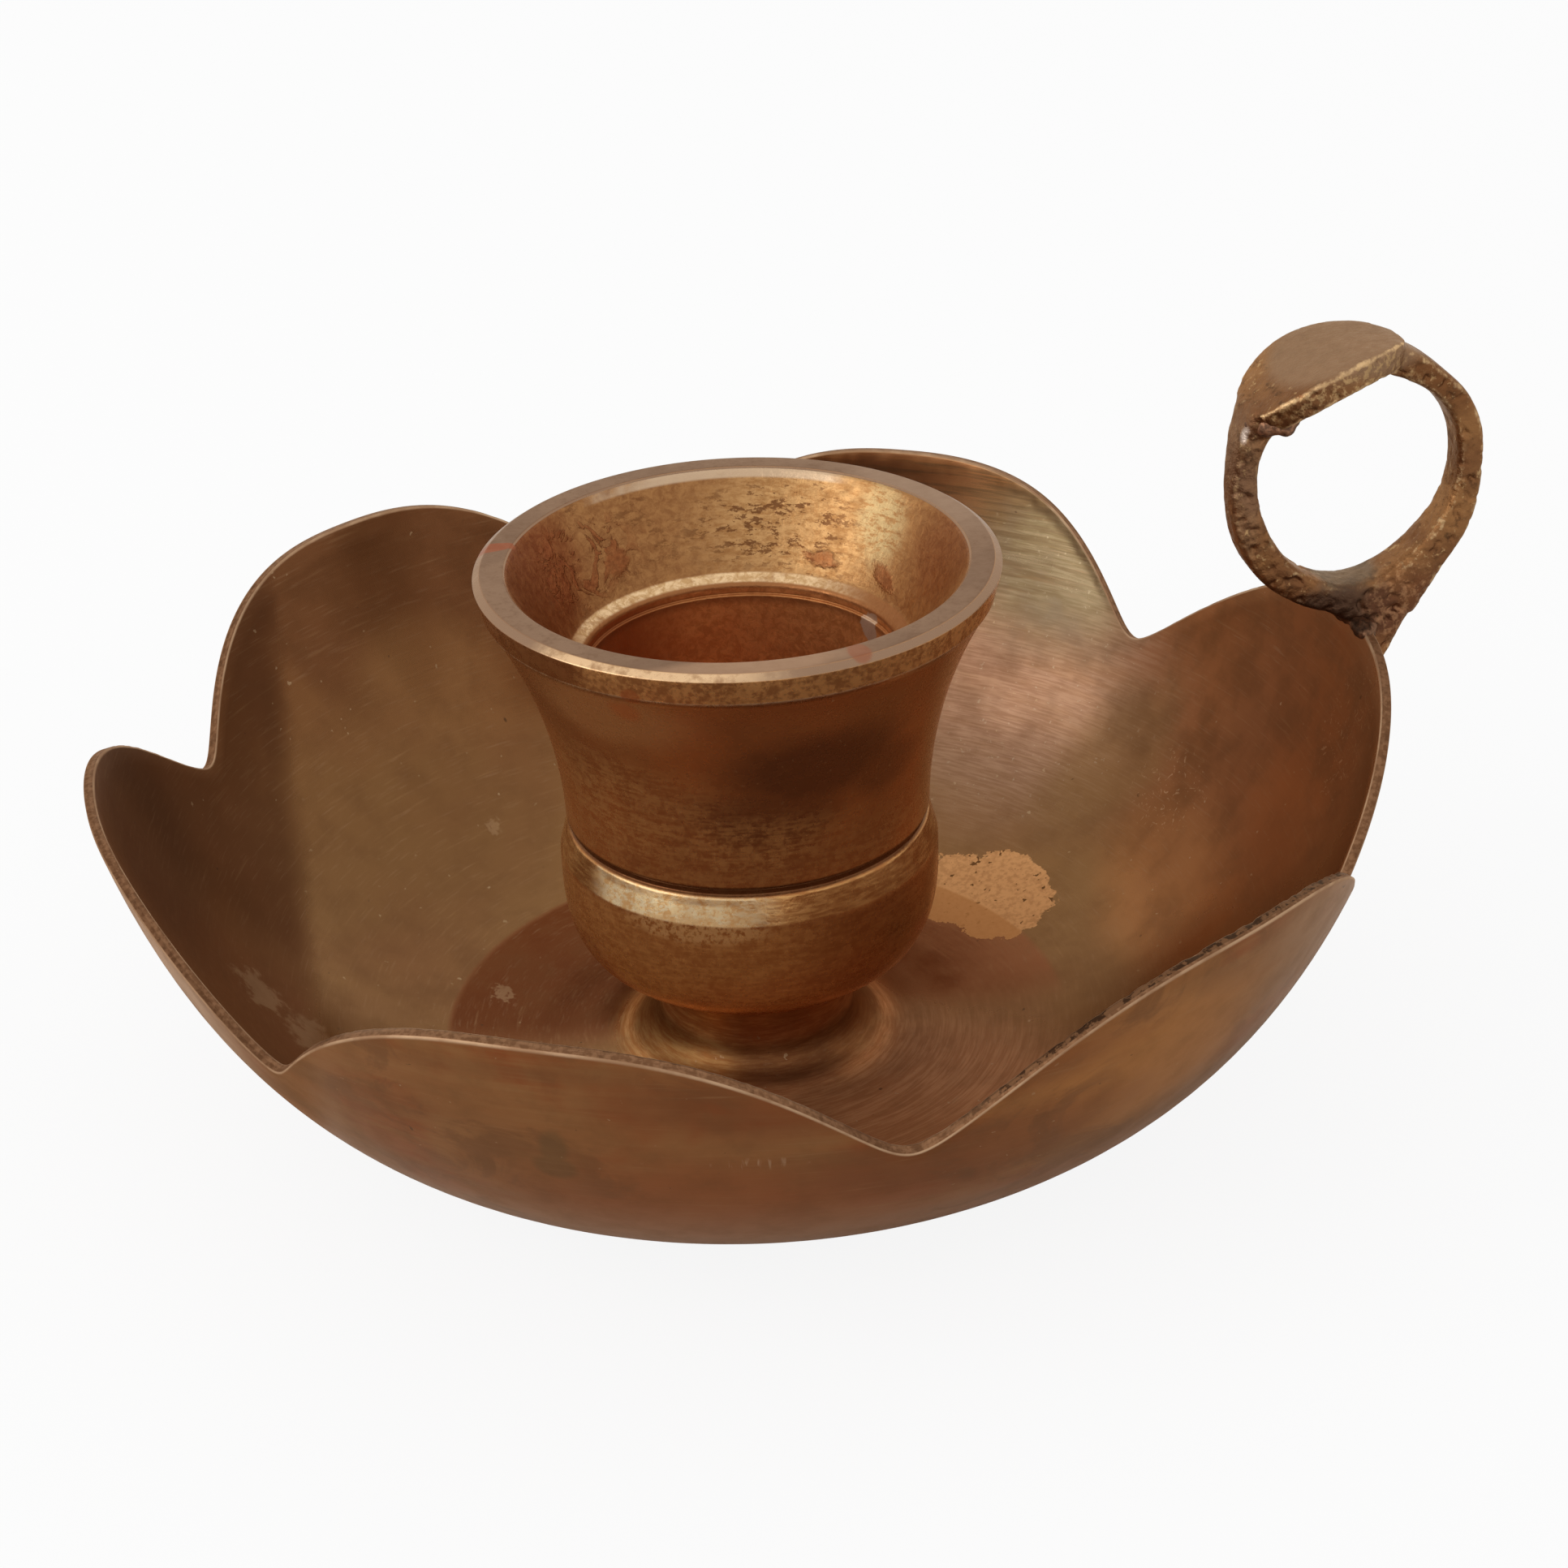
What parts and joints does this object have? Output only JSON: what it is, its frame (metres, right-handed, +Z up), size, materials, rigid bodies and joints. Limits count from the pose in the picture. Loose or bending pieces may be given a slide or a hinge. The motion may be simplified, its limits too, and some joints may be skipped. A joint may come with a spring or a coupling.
{
  "type": "chamber candle holder",
  "caption": "Brass chamber candle holder with a petal-edged drip pan, a turned candle cup screwed to the pan's pedestal, and a cast finger ring with a thumb plate.",
  "frame": {"origin": "on the candle cup's axis, in the plane of the table that the pan's foot stands on", "axes": "+Z up along the cup's axis, +X from the axis towards the finger ring, +Y to the left when looking along +X from the cup to the ring; the XZ plane is the mirror plane"},
  "size_m": [0.1051, 0.092, 0.0516],
  "materials": {
    "pan_brass": "aged, brushed, brown patina",
    "cup_brass": "aged, turned, reddish patina",
    "screw_brass": "turned, dull",
    "ring_brass": "as cast, worn",
    "braze": "rough, dark residue"
  },
  "bodies": {
    "root": {"drip_pan": "pan_brass", "candle_cup": "cup_brass", "cup_screw": "screw_brass", "screw_washer": "screw_brass", "ring_handle": "ring_brass", "rim_braze": "braze", "ring_braze": "braze"}
  },
  "joints": []
}
